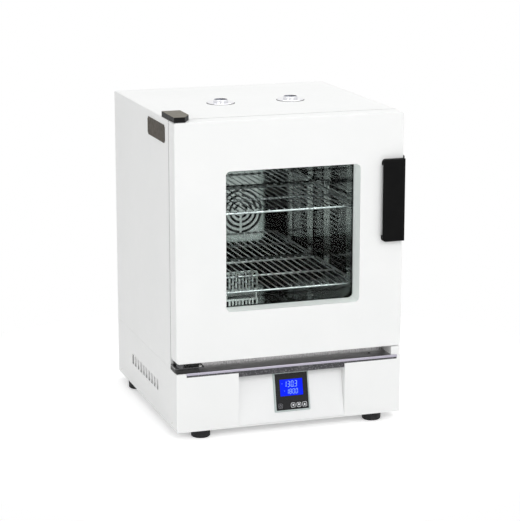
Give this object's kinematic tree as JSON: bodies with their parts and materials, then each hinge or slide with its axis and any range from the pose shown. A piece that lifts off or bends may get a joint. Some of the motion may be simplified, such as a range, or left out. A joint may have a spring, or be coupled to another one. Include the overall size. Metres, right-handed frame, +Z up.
{
  "type": "forced air convection oven",
  "caption": "Benchtop forced air convection oven: white cabinet with a windowed left-hinged door, wire shelves, fan grille, top vents and a tilted control panel in the base.",
  "frame": {"origin": "on the floor under the feet, at the middle of the footprint, bounding box centred", "axes": "+Z up, -Y towards the front (the door), +X to the right seen from the front"},
  "size_m": [0.4824, 0.486, 0.655],
  "materials": {
    "white_paint": "satin",
    "panel_paint": "satin",
    "chamber_steel": "polished",
    "shelf_steel": "polished",
    "ledge_steel": "brushed",
    "trim": "matt",
    "plain_steel": "plain",
    "fan_metal": "satin",
    "heater_metal": "heat tinted",
    "chrome": "polished",
    "shutter": "satin",
    "dark_plate": "matt",
    "black_casting": "matt",
    "bezel_plastic": "matt",
    "face_plastic": "gloss",
    "key_plastic": "matt",
    "display_blue": "lit",
    "board": "gloss",
    "wool": "fibrous",
    "surround_paint": "satin",
    "glass": "clear",
    "silicone": "matt",
    "rubber": "matt"
  },
  "bodies": {
    "cabinet": {"outer_shell": "white_paint", "rear_panel": "white_paint", "base_housing": "white_paint", "slot_guards": "white_paint", "base_fascia": "white_paint", "end_block": "white_paint", "control_panel": "panel_paint", "chamber_liner": "chamber_steel", "back_baffle": "chamber_steel", "side_air_panel_left": "chamber_steel", "side_air_panel_right": "chamber_steel", "mouth_frame": "chamber_steel", "shelf_uprights": "chamber_steel", "shelf_clips": "chamber_steel", "return_grille": "chamber_steel", "drip_ledge": "ledge_steel", "ledge_trim": "trim", "inner_back_plate": "plain_steel", "deck_plate": "plain_steel", "strike_plate": "plain_steel", "lower_hinge_plate": "plain_steel", "hinge_pins": "plain_steel", "fan_motor": "fan_metal", "overheat_thermostat": "fan_metal", "heater_ring": "heater_metal", "temperature_probe": "heater_metal", "vent_collar_left": "chrome", "vent_collar_right": "chrome", "side_plate": "dark_plate", "upper_hinge_block": "black_casting", "lower_hinge_block": "black_casting", "mains_inlet": "black_casting", "controller_case": "black_casting", "controller_bezel": "bezel_plastic", "controller_face": "face_plastic", "display": "display_blue", "relay_board": "board", "chamber_wool": "wool", "rubber_feet": "rubber"},
    "door": {"door_skin": "white_paint", "hinge_bushes": "plain_steel", "door_inner_panel": "chamber_steel", "outer_glass": "glass", "inner_glass": "glass", "glazing_seal": "silicone", "window_surround": "surround_paint", "door_wool": "wool", "door_gasket": "silicone", "handle": "black_casting", "latch_magnet": "black_casting"},
    "shelf_upper": {"shelf_upper": "shelf_steel"},
    "shelf_lower": {"shelf_lower": "shelf_steel"},
    "fan": {"fan_shaft": "plain_steel", "fan_wheel": "fan_metal"},
    "vent_shutter_left": {"vent_shutter_left": "shutter"},
    "vent_shutter_right": {"vent_shutter_right": "shutter"},
    "key_power": {"key_power": "key_plastic"},
    "key_shift": {"key_shift": "key_plastic"},
    "key_down": {"key_down": "key_plastic"},
    "key_up": {"key_up": "key_plastic"}
  },
  "joints": [
    {"name": "door_hinge", "type": "hinge", "parent": "cabinet", "child": "door", "pos_m": [-0.228, -0.218, 0.4], "axis": [0, 0, -1], "range_deg": [0, 120]},
    {"name": "shelf_upper_slide", "type": "slide", "parent": "cabinet", "child": "shelf_upper", "axis": [0, -1, 0], "range_m": [0, 0.12]},
    {"name": "shelf_lower_slide", "type": "slide", "parent": "cabinet", "child": "shelf_lower", "axis": [0, -1, 0], "range_m": [0, 0.12]},
    {"name": "fan_spin", "type": "hinge", "parent": "cabinet", "child": "fan", "pos_m": [0, 0.13, 0.391], "axis": [0, 1, 0], "continuous": true},
    {"name": "vent_turn_left", "type": "hinge", "parent": "cabinet", "child": "vent_shutter_left", "pos_m": [-0.076, -0.005, 0.646], "axis": [0, 0, 1], "range_deg": [0, 180]},
    {"name": "vent_turn_right", "type": "hinge", "parent": "cabinet", "child": "vent_shutter_right", "pos_m": [0.076, -0.005, 0.646], "axis": [0, 0, 1], "range_deg": [0, 180]},
    {"name": "key_power_press", "type": "slide", "parent": "cabinet", "child": "key_power", "axis": [0, 0.9781, -0.2079], "range_m": [0, 0.0008], "stiffness_N_per_m": 300},
    {"name": "key_shift_press", "type": "slide", "parent": "cabinet", "child": "key_shift", "axis": [0, 0.9781, -0.2079], "range_m": [0, 0.0008], "stiffness_N_per_m": 300},
    {"name": "key_down_press", "type": "slide", "parent": "cabinet", "child": "key_down", "axis": [0, 0.9781, -0.2079], "range_m": [0, 0.0008], "stiffness_N_per_m": 300},
    {"name": "key_up_press", "type": "slide", "parent": "cabinet", "child": "key_up", "axis": [0, 0.9781, -0.2079], "range_m": [0, 0.0008], "stiffness_N_per_m": 300}
  ],
  "couplings": [
    {"joint": "shelf_upper_slide", "follows": "door_hinge", "m_per_rad": 0.055},
    {"joint": "shelf_lower_slide", "follows": "door_hinge", "m_per_rad": 0.055}
  ]
}
